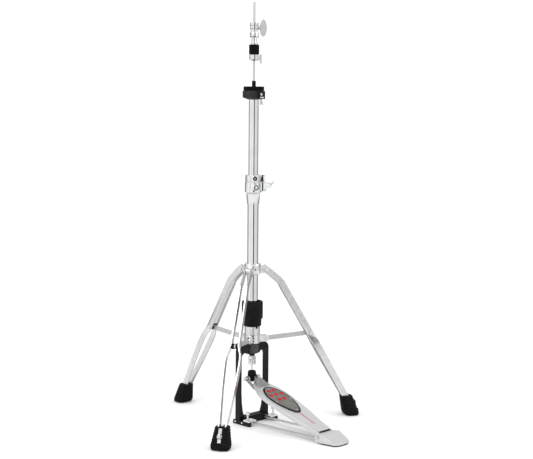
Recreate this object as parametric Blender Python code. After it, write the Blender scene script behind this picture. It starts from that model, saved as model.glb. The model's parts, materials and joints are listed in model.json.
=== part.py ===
"""Hi-hat stand with its pedal and clutch, without cymbals.

+Z is up, the pedal points to -Y, and the origin is on the stand's axis at the floor. Shapes are drawn in
millimetres and stored in metres. Each object is one physical piece, with its origin on its joint's axis.
"""

import math

import bmesh
import bpy
from mathutils import Matrix, Vector

MM = 0.001
GAP = 0.3  # between pieces that touch

# Column: (lowest, highest) of each part, from the floor up
FRAME_HUB_Z = (177.0, 204.0)
COLLAR_Z = (205.0, 226.7)
HOUSING_Z = (227.0, 249.0)
KNOB_Z = (249.3, 314.0)
LEG_HUB_Z = (383.0, 412.0)
CLAMP_Z = (563.5, 620.7)
LOCK_Z = (621.0, 638.0)
UPPER_TUBE_Z = (500.0, 828.0)
SEAT_CUP_Z = (828.3, 850.0)
SEAT_FELT_Z = (850.3, 861.0)
SEAT_SLEEVE_TOP = 875.0
CLUTCH_NUT_Z = (925.7, 941.7)
CLUTCH_FELTS_Z = (942.0, 965.0)
JAM_NUT_Z = (965.3, 982.7)
CLUTCH_BODY_Z = (983.0, 1020.5)
ROD_TOP = 1071.0
ROD_JOINT_Z = 640.0

LOWER_TUBE_R = 14.3
UPPER_TUBE_R = 12.7
TUBE_WALL = 1.2
LOWER_BORE = LOWER_TUBE_R - TUBE_WALL
SLIDING_BORE = LOWER_TUBE_R + GAP
LOWER_ROD_R = 4.0
UPPER_ROD_R = 3.0
HOUSING_R = 20.0
KNOB_R = 27.5
CLAMP_R = 21.5
SEAT_CUP_R = 28.5
SEAT_FELT_R = 26.3
CLUTCH_R = 11.0
CLUTCH_FELT_R = 13.0

# The clamp's wing and the seat's and the clutch's screws are all on one side of the column.
SIDE = Vector((math.sqrt(0.5), -math.sqrt(0.5), 0.0))
BACK = Vector((math.sqrt(0.5), math.sqrt(0.5), 0.0))
UP = Vector((0.0, 0.0, 1.0))
CLAMP_BOLT = (41.0, 611.0)  # (distance towards SIDE, height)
TILT_SCREW_R = 19.0
CLUTCH_SCREW_Z = 1007.0

# Pedal
POST_X = (44.5, 52.5)
FRAME_Y = (-9.0, 7.0)
RUNNER_X = (42.0, 54.0)
RUNNER_Y = (-46.0, 14.0)
RUNNER_H = 10.0
CROSS_PLATE_H = 17.0
ROD_X = 31.0
ROD_R = 2.4
ROD_Z = (7.0, 12.0)  # at the cross plate and at the hinge
CLAMP_PLATE_Y = (-44.0, -22.0)
THUMB_X = 46.5
HINGE = Vector((0.0, -262.0, 15.0))
HINGE_EAR_X = (28.4, 33.6)
HINGE_PIN_R = 2.5
BARREL_R = 5.9
TOE_AXLE_Z = 112.0
ROD_PIVOT_Z = 158.0
BOARD_SLOPE = math.radians(19.3)
BOARD_RISE = 6.0  # of the board's top above the hinge pin
BOARD_THICK = 3.5
# (distance up the board from the hinge, half its width, depth of its skirt)
BOARD_SHAPE = (
    (4, 27, 7), (25, 27.5, 10), (53, 30, 10), (75, 33, 10), (94, 36, 10), (112, 38.6, 10),
    (131, 40, 10), (165, 41.4, 10), (195, 41, 10), (212, 37.5, 9), (227, 33, 7), (240, 28, 5),
    (250, 22, 4.5), (259, 13, 4.5),
)  # fmt: skip
# (distance, half width, height above the board) of the toe's raised scoop
SCOOP_SHAPE = ((232, 23, 1), (242, 18, 4), (252, 13.5, 8), (258.5, 11, 10))
GRIP_SPAN = (101.0, 224.0)
GRIP_HALF_WIDTH = 31.0
HEEL_FRONT_Y = -268.4
HEEL_END_Y = -318.0

# Tripod, in a leg's own plane: (distance from the axis, height)
LEG_ANGLES = {"front_left": 210.0, "front_right": 330.0, "rear": 90.0}
HUB_PIVOT = (36.0, 395.0)
LEG_BEND = (76.0, 360.0)
FOOT_TOP = (254.5, 49.0)
COLLAR_PIVOT = (36.0, 215.5)
BRACE_LEG_Z = 225.0
BAR_DEPTH = 17.0
BAR_THICK = 3.5
BRACE_DEPTH = 12.0
BRACE_THICK = 4.0
LUG_HALF_WIDTH = 6.0
PIVOT_R = 3.0
SOCKET_Y = (5.9, 11.9)
# (height, inner reach, outer reach, half width) of a foot
FOOT_SHAPE = (
    (0, 255, 288, 21), (3, 251, 292, 24), (10, 247.5, 290.5, 24.5),
    (34, 243.5, 281, 20.5), (52, 240.5, 273, 17.5),
)  # fmt: skip


# ---------------------------------------------------------------- shapes


def material(name, colour, roughness, metallic):
    made = bpy.data.materials.new(name)
    made.use_nodes = True
    shader = made.node_tree.nodes["Principled BSDF"]
    shader.inputs["Base Color"].default_value = (*colour, 1.0)
    shader.inputs["Roughness"].default_value = roughness
    shader.inputs["Metallic"].default_value = metallic
    return made


def loft(rings, closed=False):
    """Joins rings of equally many points. Its ends are capped unless it closes on itself."""
    bm = bmesh.new()
    made = [[bm.verts.new(point) for point in ring] for ring in rings]
    count = len(made[0])
    pairs = list(zip(made, made[1:]))
    if closed:
        pairs.append((made[-1], made[0]))
    for low, high in pairs:
        for i in range(count):
            j = (i + 1) % count
            bm.faces.new((low[i], low[j], high[j], high[i]))
    if not closed:
        bm.faces.new(list(reversed(made[0])))
        bm.faces.new(made[-1])
    bmesh.ops.recalc_face_normals(bm, faces=bm.faces)
    mesh = bpy.data.meshes.new("shape")
    bm.to_mesh(mesh)
    bm.free()
    shape = bpy.data.objects.new("shape", mesh)
    bpy.context.scene.collection.objects.link(shape)
    return shape


def turned(profile, sides=24, bored=True):
    """Turns (radius, height) points about Z: round a bore, or as a solid that fills the axis."""
    rings = []
    for i in range(sides):
        a = 2 * math.pi * (i + 0.5) / sides
        rings.append([Vector((r * math.cos(a), r * math.sin(a), z)) for r, z in profile])
    if bored:
        return loft(rings, closed=True)
    return loft([[ring[k] for ring in rings] for k in range(len(profile))])


def tube(outer, inner, low, high, sides=24):
    return turned([(inner, low), (outer, low), (outer, high), (inner, high)], sides)


def moved(shape, matrix):
    shape.data.transform(matrix)
    return shape


def rod(start, end, radius, sides=16):
    start = Vector(start)
    axis = Vector(end) - start
    shape = turned([(radius, 0.0), (radius, axis.length)], sides, bored=False)
    return moved(shape, Matrix.Translation(start) @ axis.to_track_quat("Z", "Y").to_matrix().to_4x4())


def rod_along_x(half_length, y, z, radius, sides=16):
    return rod((-half_length, y, z), (half_length, y, z), radius, sides)


def block(low, high):
    (x0, y0, z0), (x1, y1, z1) = low, high
    corners = [(x0, y0), (x1, y0), (x1, y1), (x0, y1)]
    return loft([[Vector((x, y, z)) for x, y in corners] for z in (z0, z1)])


def slab(outline, low, high, across=(1, 0, 0), along=(0, 1, 0), origin=(0, 0, 0)):
    """Extrudes an outline drawn in two directions, from low to high in the third."""
    across, along, origin = Vector(across), Vector(along), Vector(origin)
    third = across.cross(along)
    return loft([[origin + across * a + along * b + third * h for a, b in outline] for h in (low, high)])


def side_view(outline, x0, x1):
    """Extrudes a (y, z) outline from x0 to x1."""
    return slab(outline, min(x0, x1), max(x0, x1), (0, 1, 0), (0, 0, 1))


def front_view(outline, y0, y1):
    """Extrudes an (x, z) outline from y0 to y1."""
    return slab(outline, -y1, -y0, (1, 0, 0), (0, 0, 1))


def arc(centre, radius, start, end, steps=6):
    """Points on a circle, from one angle to the other in degrees."""
    found = []
    for i in range(steps + 1):
        a = math.radians(start + (end - start) * i / steps)
        found.append((centre[0] + radius * math.cos(a), centre[1] + radius * math.sin(a)))
    return found


def full_turn(steps):
    """Evenly spaced angles once round a circle."""
    return [2 * math.pi * i / steps for i in range(steps)]


def combine(base, others, operation):
    for other in others:
        step = base.modifiers.new("step", "BOOLEAN")
        step.operation = operation
        step.solver = "EXACT"
        step.object = other
        bpy.context.view_layer.update()
        graph = bpy.context.evaluated_depsgraph_get()
        result = bpy.data.meshes.new_from_object(base.evaluated_get(graph))
        base.modifiers.clear()
        base.data = result
        bpy.data.objects.remove(other)
    return base


def joined(base, *others):
    return combine(base, others, "UNION")


def cut(base, *others):
    return combine(base, others, "DIFFERENCE")


def to_side(distance=0.0, height=0.0):
    """Turns a shape so that its +X becomes SIDE and +Y becomes BACK, and moves it towards SIDE and up."""
    turn = Matrix((SIDE, BACK, UP)).transposed().to_4x4()
    return Matrix.Translation(SIDE * distance + UP * height) @ turn


def node(name, shape, finish, origin=(0.0, 0.0, 0.0)):
    """Names the shape as a piece, in metres, with its own origin."""
    origin = Vector(origin)
    shape.data.transform(Matrix.Scale(MM, 4) @ Matrix.Translation(-origin))
    shape.location = origin * MM
    shape.name = name
    shape.data.name = name
    shape.data.materials.clear()
    shape.data.materials.append(finish)
    shape.data.shade_smooth()
    shape.data.set_sharp_from_angle(angle=math.radians(35))
    return shape


# ---------------------------------------------------------------- base


def arch_half(side):
    """Half of the frame from the front: a post that flares at its foot, a shoulder, and an arch to the hub."""
    inner, outer = POST_X
    low, top = FRAME_HUB_Z
    outline = [(10, top), (10, low), (18, low), (24, top - 21), *arc((inner - 13, top - 34), 13, 90, 0)]
    outline += [(inner, 78), (inner - 1.6, 52), (inner - 4.6, 33), (inner - 10, CROSS_PLATE_H + GAP)]
    outline += [(RUNNER_X[0], CROSS_PLATE_H + GAP), (RUNNER_X[0], 5), (outer, 5)]
    outline += arc((outer - 17, top - 17), 17, 0, 90)
    return [(side * x, z) for x, z in outline]


def pedal_frame(finish):
    """One casting: a hub with a spigot for the tube, an arch, two posts, and a runner under each."""
    low, top = FRAME_HUB_Z
    spigot_r = LOWER_BORE - GAP
    profile = [(6.5, low), (13, low), (16.5, low + 11), (17, low + 17), (14.5, top), (spigot_r, top)]
    made = turned([*profile, (spigot_r, top + 20), (6.5, top + 20)])
    middle, half = sum(RUNNER_X) / 2, (RUNNER_X[1] - RUNNER_X[0]) / 2
    screw_y = sum(CLAMP_PLATE_Y) / 2
    for side in (-1, 1):
        made = joined(made, front_view(arch_half(side), *FRAME_Y))
        outline = arc((side * middle, RUNNER_Y[0] + half), half, 180, 360, 8)
        outline += [(side * middle + half, RUNNER_Y[1]), (side * middle - half, RUNNER_Y[1])]
        made = joined(made, slab(outline, 0, RUNNER_H))
        made = cut(made, rod((side * THUMB_X, screw_y, 3), (side * THUMB_X, screw_y, 20), 2.6))
    made = cut(made, rod((0, 0, low - 9), (0, 0, top + 40), 6.5, 24))
    return node("pedal_frame", made, finish)


def cross_plate(finish):
    edge, top = RUNNER_X[0] - GAP, CROSS_PLATE_H
    outline = [(-18, 0), (12, 0), (12, top - 4), (8, top), (-14, top), (-18, top - 4)]
    made = side_view(outline, -edge, edge)
    for side in (-1, 1):
        hole = rod((side * ROD_X, -30, ROD_Z[0]), (side * ROD_X, -6, ROD_Z[0]), ROD_R + GAP)
        made = cut(made, hole)
    return node("cross_plate", made, finish)


def radius_rod(name, side, finish):
    """From the cross plate, under its clamp plate, to the heel plate's ear."""
    points = [(-7, ROD_Z[0]), (CLAMP_PLATE_Y[0] - 6, ROD_Z[0]), (HINGE.y + 8.3, ROD_Z[1])]
    circle = [(ROD_R * math.cos(k * math.pi / 6), ROD_R * math.sin(k * math.pi / 6)) for k in range(12)]
    rings = [[Vector((side * ROD_X + a, y, z + b)) for a, b in circle] for y, z in points]
    return node(name, loft(rings), finish)


def clamp_plate(name, side, finish):
    """Holds a radius rod down beside its runner."""
    near, far = sorted((side * 26, side * 52))
    screw_y = sum(CLAMP_PLATE_Y) / 2
    made = block((near, CLAMP_PLATE_Y[0], RUNNER_H + GAP), (far, CLAMP_PLATE_Y[1], RUNNER_H + 4.3))
    made = cut(made, rod((side * THUMB_X, screw_y, 0), (side * THUMB_X, screw_y, 30), 2.6))
    return node(name, made, finish)


def thumb_screw(name, side, finish):
    """A screw with a thin collar and a round flat head."""
    place = Vector((side * THUMB_X, sum(CLAMP_PLATE_Y) / 2, 0))
    low = RUNNER_H + 4.6
    collar = [(2.2, 4), (2.2, low), (5, low), (5, low + 2), (2.2, low + 2.6)]
    head = [(2.2, 27), (5.2, 28.5), (5.2, 34.5), (3.6, 36)]
    made = moved(turned(collar + head, 16, bored=False), Matrix.Translation(place))
    return node(name, made, finish, place + UP * low)


def heel_plate(finish):
    """A wedge behind the hinge, narrower at its rear, with two ears that carry the hinge pin."""
    front, end = HEEL_FRONT_Y, HEEL_END_Y
    made = side_view([(front, 2.5), (front, 22.5), (front - 7, 22.5), (end + 2, 6.5), (end, 2.5)], -33, 33)
    for side in (-1, 1):
        corner = [(60, front - 8), (33.1, front - 8), (26.5, end + 6), (12, end - 1), (60, end - 1)]
        made = cut(made, slab([(side * x, y) for x, y in corner], -5, 40))
        ear = [(front - 4, 2.7), (front - 4, 20.5), (HINGE.y + 2, 21)]
        ear += [(HINGE.y + 8, 17), (HINGE.y + 8, 2.7)]
        made = joined(made, side_view(ear, side * HINGE_EAR_X[0], side * HINGE_EAR_X[1]))
    made = cut(made, rod_along_x(50, HINGE.y, HINGE.z, HINGE_PIN_R + GAP))
    return node("heel_plate", made, finish)


def heel_pad(finish):
    outline = [(-32, HEEL_FRONT_Y - 1), (-31, HEEL_FRONT_Y - 12), (-25, HEEL_END_Y + 7), (-12, HEEL_END_Y + 1)]
    outline += [(-x, y) for x, y in reversed(outline)]
    return node("heel_pad", slab(outline, 0, 2.2), finish)


def base(cast, chrome, silver, black, rubber):
    pedal_frame(cast)
    cross_plate(black)
    for name, side in (("left", -1), ("right", 1)):
        radius_rod("radius_rod_" + name, side, chrome)
        clamp_plate("clamp_plate_" + name, side, chrome)
        thumb_screw("thumb_screw_" + name, side, chrome)
    heel_plate(silver)
    heel_pad(rubber)
    node("hinge_pin", rod_along_x(38, HINGE.y, HINGE.z, HINGE_PIN_R), chrome)
    low = FRAME_HUB_Z[0]
    bushing = [(4.3, low - 5.5), (7.2, low - 5.5), (7.2, low - 1), (6.2, low - 0.3)]
    bushing += [(6.2, low + 23), (4.3, low + 23)]
    return node("lower_bushing", turned(bushing, 20), black)


# ---------------------------------------------------------------- footboard and drive


def on_board(distance, across, rise):
    """A point measured up the footboard from the hinge, across it, and above the line through the pin."""
    direction = Vector((0, math.cos(BOARD_SLOPE), math.sin(BOARD_SLOPE)))
    normal = Vector((0, -math.sin(BOARD_SLOPE), math.cos(BOARD_SLOPE)))
    return HINGE + direction * distance + normal * rise + Vector((across, 0, 0))


def footboard(finish):
    """A plate with a skirt down each side, a barrel round the hinge pin and a raised scoop at the toe."""
    top, low = BOARD_RISE, BOARD_RISE - BOARD_THICK
    rings = []
    for distance, half, depth in BOARD_SHAPE:
        skirt = top - depth
        edge = [(-half, top - 1.5), (-half + 2, top), (half - 2, top), (half, top - 1.5), (half, skirt)]
        edge += [(half - 3, skirt), (half - 3, low), (-half + 3, low), (-half + 3, skirt), (-half, skirt)]
        rings.append([on_board(distance, across, rise) for across, rise in edge])
    scoop = []
    for distance, half, height in SCOOP_SHAPE:
        edge = [(-half, low + 1), (half, low + 1), (half, top + height), (-half, top + height)]
        scoop.append([on_board(distance, across, rise) for across, rise in edge])
    made = joined(loft(rings), rod_along_x(28, HINGE.y, HINGE.z, BARREL_R, 20), loft(scoop))
    made = cut(made, rod_along_x(60, HINGE.y, HINGE.z, HINGE_PIN_R + 0.4))
    return node("footboard", made, finish, HINGE)


def grip_half_width(share):
    """Half the leaf's width, from its blunt heel end (0) past its widest to its rounded toe end (1)."""
    swell = max(math.sin(math.pi * share**1.25), 0.0) ** 0.55
    return 4 + (GRIP_HALF_WIDTH - 4) * swell


def traction_plate(finish):
    right = []
    for i in range(17):
        share = i / 16
        distance = GRIP_SPAN[0] + (GRIP_SPAN[1] - GRIP_SPAN[0]) * share
        right.append((grip_half_width(share), distance))
    outline = right + [(-across, distance) for across, distance in reversed(right)]
    heights = (BOARD_RISE + GAP, BOARD_RISE + 2.0)
    made = loft([[on_board(distance, across, rise) for across, distance in outline] for rise in heights])
    return node("traction_plate", made, finish, HINGE)


def toe_bracket(finish):
    """Bolted under the footboard's toe: a plate with two ears that rise to the toe axle."""
    high = BOARD_RISE - BOARD_THICK - GAP
    outline = [(225, high - 4), (248, high - 4), (248, high), (225, high)]
    made = loft([[on_board(distance, x, rise) for distance, rise in outline] for x in (-17, 17)])
    for side in (-1, 1):
        ear = [(-46, 88), (-24, 88), (-5, 99), *arc((0, TOE_AXLE_Z), 8, -50, 190, 10)]
        ear += [(-15, 101.5), (-24, 99), (-28, 97.8), (-46, 91.8)]
        made = joined(made, side_view(ear, side * 13.5, side * 16.8))
    made = cut(made, rod_along_x(40, 0, TOE_AXLE_Z, 3.0 + GAP))
    return node("toe_bracket", made, finish, HINGE)


def toe_axle(finish):
    made = rod_along_x(24, 0, TOE_AXLE_Z, 3.0)
    for side in (-1, 1):
        made = joined(made, rod((side * 17.2, 0, TOE_AXLE_Z), (side * 28, 0, TOE_AXLE_Z), 5.0, 12))
    return node("toe_axle", made, finish, HINGE)


def rod_connector(finish):
    """The fork on the lower pull rod's end that carries the swivel."""
    made = block((-7.5, -7.5, 147), (7.5, 7.5, 170))
    made = cut(made, block((-4.3, -10, 140), (4.3, 10, 164)))
    made = cut(made, rod((0, 0, 160), (0, 0, 180), LOWER_ROD_R + GAP))
    made = cut(made, rod_along_x(20, 0, ROD_PIVOT_Z, 2.0 + GAP))
    return node("rod_connector", made, finish)


def swivel(chrome, black):
    """The stud that swings in the connector, its pin, and the cap that the toe axle passes through."""
    pivot = (0, 0, ROD_PIVOT_Z)
    stud = joined(rod((0, 0, 124), (0, 0, 154), 2.5), rod_along_x(4, 0, ROD_PIVOT_Z, 5.5, 20))
    stud = cut(stud, rod_along_x(9, 0, ROD_PIVOT_Z, 2.0 + GAP))
    node("swivel_stud", stud, chrome, pivot)
    profile = [(6, 103), (7.5, 105), (7.5, 116), (11, 117.5), (11, 127), (9.5, 131), (6, 132.5)]
    cap = turned(profile, 20, bored=False)
    cap = cut(cap, rod((0, 0, 123.5), (0, 0, 140), 2.5 + GAP))
    cap = cut(cap, rod_along_x(20, 0, TOE_AXLE_Z, 4.2, 20))
    node("swivel_cap", cap, black, pivot)
    pin = rod_along_x(9.5, 0, ROD_PIVOT_Z, 2.0)
    head = rod((-11, 0, ROD_PIVOT_Z), (-7.8, 0, ROD_PIVOT_Z), 3.6, 16)
    return node("connector_pin", joined(pin, head), chrome, pivot)


def pull_rod(finish):
    lower = rod((0, 0, 164.5), (0, 0, ROD_JOINT_Z), LOWER_ROD_R, 20)
    lower = cut(lower, rod((0, 0, ROD_JOINT_Z - 20), (0, 0, ROD_JOINT_Z + 5), UPPER_ROD_R + GAP))
    node("lower_pull_rod", lower, finish)
    node("upper_pull_rod", rod((0, 0, ROD_JOINT_Z - 19), (0, 0, ROD_TOP), UPPER_ROD_R), finish)
    return node("spring_collar", tube(11.5, LOWER_ROD_R + GAP, 296, 300), finish)


def return_spring(finish):
    """A coil between the frame's spigot and the collar on the rod."""
    low, high = FRAME_HUB_Z[1] + 20.3, 295.7
    turns, wire, radius = 7, 1.0, 10.0
    steps = turns * 14
    section = [(wire * math.cos(k * math.pi / 3), wire * math.sin(k * math.pi / 3)) for k in range(6)]
    rings = []
    for i in range(steps + 1):
        a = 2 * math.pi * i * turns / steps
        out = Vector((math.cos(a), math.sin(a), 0))
        height = low + wire + (high - low - 2 * wire) * i / steps
        rings.append([out * (radius + x) + UP * (height + z) for x, z in section])
    return node("return_spring", loft(rings), finish)


# ---------------------------------------------------------------- column


def tension_knob(finish):
    """A hollow fluted knob with a narrower foot, threaded round the tube above the housing."""
    low, high = KNOB_Z
    levels = [(KNOB_R - 5, low), (KNOB_R - 4, low + 2), (KNOB_R - 3.5, low + 18), (KNOB_R, low + 21)]
    levels += [(KNOB_R, high - 4), (KNOB_R - 2, high)]
    flutes = 20
    rings = []
    for radius, z in levels:
        ring = []
        for i in range(flutes * 2):
            a = math.pi * i / flutes
            reach = radius - 0.9 * (i % 2)
            ring.append(Vector((reach * math.cos(a), reach * math.sin(a), z)))
        rings.append(ring)
    made = cut(loft(rings), rod((0, 0, low - 5), (0, 0, high + 5), SLIDING_BORE, 24))
    made = cut(made, tube(KNOB_R - 5.5, SLIDING_BORE - 1, high - 7, high + 5))
    return node("tension_knob", made, finish)


def height_clamp(finish):
    """The casting on the lower tube's top: a tapered skirt, a thick collar with a boss, and two ears."""
    low, high = CLAMP_Z
    step, shelf, bushing_top = 593.0, 596.0, 618.3
    upper_bore, bushing_bore = UPPER_TUBE_R + 0.4, 15.3
    profile = [(SLIDING_BORE, low), (15.6, low), (17.8, step - 2), (CLAMP_R, step + 1), (CLAMP_R, high)]
    profile += [(upper_bore, high), (upper_bore, bushing_top), (bushing_bore, bushing_top)]
    made = turned([*profile, (bushing_bore, shelf), (SLIDING_BORE, shelf)])
    bolt_r, bolt_z = CLAMP_BOLT
    ear = [(12, 597), (31, 597), (36, 604.6), *arc(CLAMP_BOLT, 6, -90, 90), (33, 619), (12, 619)]
    ears = cut(front_view(ear, -8, 8), rod((0, 0, 580), (0, 0, 640), CLAMP_R - 3))
    boss = rod((0, -17, 607), (0, -24.5, 607), 8.0)
    made = joined(made, moved(ears, to_side()))
    made = joined(made, moved(boss, to_side() @ Matrix.Rotation(math.radians(20), 4, "Z")))
    made = cut(made, moved(block((CLAMP_R - 2, -1.1, 590), (60, 1.1, 640)), to_side()))
    made = cut(made, moved(rod((bolt_r, -30, bolt_z), (bolt_r, 30, bolt_z), 3.0 + GAP), to_side()))
    return node("height_clamp", made, finish)


def wing(half_span, reach, thick, hub_r, low, high):
    """A wing head about Z: a round hub from low to high, and two round lobes in the XZ plane."""
    lobe_r = reach / 2
    lobe = arc((half_span - lobe_r, high), lobe_r, -70, 150)
    outline = [(0, low + 1), (hub_r, low + 1), *lobe, (hub_r * 0.7, high - 1)]
    outline += [(-x, z) for x, z in reversed(outline) if x > 0]
    made = front_view(outline, -thick / 2, thick / 2)
    return joined(turned([(hub_r, low), (hub_r, high)], 16, bored=False), made)


def clamp_wing(finish):
    """The bolt through the clamp's ears with its wing, which tightens the clamp on the upper tube."""
    made = joined(wing(18, 11, 4.5, 5.5, 8.6, 16.0), rod((0, 0, -10), (0, 0, 10), 3.0))
    made = joined(made, rod((0, 0, -12.5), (0, 0, -8.4), 5.0, 6))
    to_front = Matrix.Rotation(math.radians(90), 4, "X") @ Matrix.Rotation(math.radians(45), 4, "Z")
    distance, height = CLAMP_BOLT
    place = SIDE * distance + UP * height
    return node("clamp_wing", moved(made, to_side(distance, height) @ to_front), finish, place)


def memory_lock(finish):
    """A split ring on the upper tube that rests on the clamp, with a boss for its key bolt."""
    low, high = LOCK_Z
    middle = (low + high) / 2
    ear = cut(block((12, -8, low + 0.4), (31, 8, high - 0.4)), rod((0, 0, 600), (0, 0, 700), CLAMP_R - 4))
    boss = rod((0, -17, middle), (0, -23.5, middle), 5.7)
    made = joined(tube(CLAMP_R - 1, UPPER_TUBE_R + GAP, low, high), moved(ear, to_side()))
    made = joined(made, moved(boss, to_side() @ Matrix.Rotation(math.radians(12), 4, "Z")))
    made = cut(made, moved(block((CLAMP_R - 3.5, -1.1, 600), (60, 1.1, 700)), to_side()))
    return node("memory_lock", made, finish)


def column(chrome, black):
    node("lower_tube", tube(LOWER_TUBE_R, LOWER_BORE, FRAME_HUB_Z[1] + GAP, 595.7), chrome)
    node("spring_housing", tube(HOUSING_R, SLIDING_BORE, *HOUSING_Z), chrome)
    node("tube_bushing", tube(15.0, UPPER_TUBE_R + 0.2, 596.3, 618.0), black)
    node("upper_tube", tube(UPPER_TUBE_R, UPPER_TUBE_R - TUBE_WALL, *UPPER_TUBE_Z), chrome)
    tension_knob(black)
    height_clamp(chrome)
    clamp_wing(chrome)
    memory_lock(chrome)


# ---------------------------------------------------------------- tripod


def leg_frame(angle):
    """From a leg's own (distance, sideways, height) to the stand's frame."""
    return Matrix.Rotation(math.radians(angle), 4, "Z")


def pivot_point(angle, pivot):
    return leg_frame(angle) @ Vector((pivot[0], 0, pivot[1]))


def lug(pivot, radius, inner):
    """The outline of an ear that stands out from a collar and is rounded about its pivot."""
    r, z = pivot
    nose = [(r, z - radius), *arc(pivot, radius, -75, 75), (r, z + radius)]
    return [(inner, z - radius), *nose, (inner, z + radius)]


def leg_hub(finish):
    low, high = LEG_HUB_Z
    r, z = HUB_PIVOT
    profile = [(SLIDING_BORE, low), (19, low), (21, low + 4), (21, high - 3), (19, high), (SLIDING_BORE, high)]
    made = turned(profile)
    for angle in LEG_ANGLES.values():
        ear = front_view(lug(HUB_PIVOT, 9, 18), -LUG_HALF_WIDTH, LUG_HALF_WIDTH)
        made = joined(made, moved(ear, leg_frame(angle)))
        made = cut(made, moved(rod((r, -20, z), (r, 20, z), PIVOT_R + GAP), leg_frame(angle)))
    return node("leg_hub", made, finish)


def brace_collar(finish):
    """Turns on the lower tube above the frame, with a slotted lug for each brace."""
    made = tube(20.5, SLIDING_BORE, *COLLAR_Z)
    r, z = COLLAR_PIVOT
    slot = BRACE_THICK / 2 + GAP
    for angle in LEG_ANGLES.values():
        ear = front_view(lug(COLLAR_PIVOT, 8.5, 17), -6.5, 6.5)
        ear = cut(ear, block((r - 12, -slot, z - 20), (r + 20, slot, z + 20)))
        made = joined(made, moved(ear, leg_frame(angle)))
    return node("brace_collar", made, finish)


def on_leg(z):
    """Distance from the axis of the leg's straight part at a height."""
    share = (LEG_BEND[1] - z) / (LEG_BEND[1] - FOOT_TOP[1])
    return LEG_BEND[0] + (FOOT_TOP[0] - LEG_BEND[0]) * share


def leg_path():
    """(distance, height, sideways offset) of a bar's middle, from the hub to inside the foot."""
    near = LUG_HALF_WIDTH + GAP + BAR_THICK / 2
    path = [(28.5, 400.5, near), (*HUB_PIVOT, near), (52, 382, near), (66, 370, near)]
    path += [(*LEG_BEND, near + 0.4), (84, 345, near + 0.8)]
    upper = ((300, 9.4), (224, 10.0), (206, 17.0), (196, 18.6))
    lower = ((180, 18.7), (130, 15.9), (84, 11.8), (56, 8.9), (24, 8.4))
    return path + [(on_leg(z), z, offset) for z, offset in (*upper, *lower)]


def leg_bar(name, angle, side, finish):
    """One of a leg's two bars: bent below the hub, jogged out below the brace, drawn in at the foot."""
    path = leg_path()
    rings = []
    for i, (r, z, offset) in enumerate(path):
        ahead = path[min(i + 1, len(path) - 1)]
        behind = path[max(i - 1, 0)]
        way = Vector((ahead[0] - behind[0], 0, ahead[1] - behind[1])).normalized()
        out = Vector((-way.z, 0, way.x)) * BAR_DEPTH / 2
        aside = Vector((0, BAR_THICK / 2, 0))
        centre = Vector((r, side * offset, z))
        rings.append([centre - out - aside, centre + out - aside, centre + out + aside, centre - out + aside])
    r, z = HUB_PIVOT
    hole = rod((r, side * 2, z), (r, side * 20, z), PIVOT_R + GAP)
    made = moved(cut(loft(rings), hole), leg_frame(angle))
    return node(name, made, finish, pivot_point(angle, HUB_PIVOT))


def hub_rivet(name, angle, finish):
    r, z = HUB_PIVOT
    outer = LUG_HALF_WIDTH + GAP + BAR_THICK + GAP
    made = rod((r, -outer - 1, z), (r, outer + 1, z), PIVOT_R)
    for side in (-1, 1):
        made = joined(made, rod((r, side * outer, z), (r, side * (outer + 2), z), 5.5))
    return node(name, moved(made, leg_frame(angle)), finish, pivot_point(angle, HUB_PIVOT))


def brace(name, angle, finish):
    """A flat strut from the collar's slotted lug to between the leg's bars."""
    start = Vector((COLLAR_PIVOT[0], 0, COLLAR_PIVOT[1]))
    end = Vector((on_leg(BRACE_LEG_Z), 0, BRACE_LEG_Z))
    along = (end - start).normalized()
    upward = Vector((-along.z, 0, along.x))
    half = BRACE_DEPTH / 2
    outline = [*arc((0, 0), half, 90, 270, 8), *arc(((end - start).length, 0), half, -90, 90, 8)]
    made = slab(outline, -BRACE_THICK / 2, BRACE_THICK / 2, along, upward, start)
    return node(name, moved(made, leg_frame(angle)), finish, pivot_point(angle, COLLAR_PIVOT))


def foot(name, angle, finish):
    """A skewed rubber boot with a socket for each of the leg's bars."""
    rings = []
    for z, inner, outer, half in FOOT_SHAPE:
        middle, reach = (inner + outer) / 2, (outer - inner) / 2
        ring = []
        for i in range(20):
            x, y = math.cos(math.pi * i / 10), math.sin(math.pi * i / 10)
            swell = (abs(x) ** 3.2 + abs(y) ** 3.2) ** (-1 / 3.2)
            ring.append(Vector((middle + reach * x * swell, half * y * swell, z)))
        rings.append(ring)
    made = loft(rings)
    top, low = Vector((on_leg(80), 0, 80)), Vector((on_leg(23), 0, 23))
    along = (low - top).normalized()
    half, length = BAR_DEPTH / 2 + GAP, (low - top).length
    outline = [(0, -half), (length, -half), (length, half), (0, half)]
    for side in (-1, 1):
        near, far = sorted((side * SOCKET_Y[0], side * SOCKET_Y[1]))
        made = cut(made, slab(outline, near, far, along, Vector((along.z, 0, -along.x)), top))
    return node(name, moved(made, leg_frame(angle)), finish, pivot_point(angle, HUB_PIVOT))


def tripod(chrome, rubber):
    leg_hub(chrome)
    brace_collar(chrome)
    for leg, angle in LEG_ANGLES.items():
        leg_bar("leg_bar_left_" + leg, angle, -1, chrome)
        leg_bar("leg_bar_right_" + leg, angle, 1, chrome)
        hub_rivet("hub_rivet_" + leg, angle, chrome)
        brace("brace_" + leg, angle, chrome)
        foot("foot_" + leg, angle, rubber)


# ---------------------------------------------------------------- seat and clutch


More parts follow.
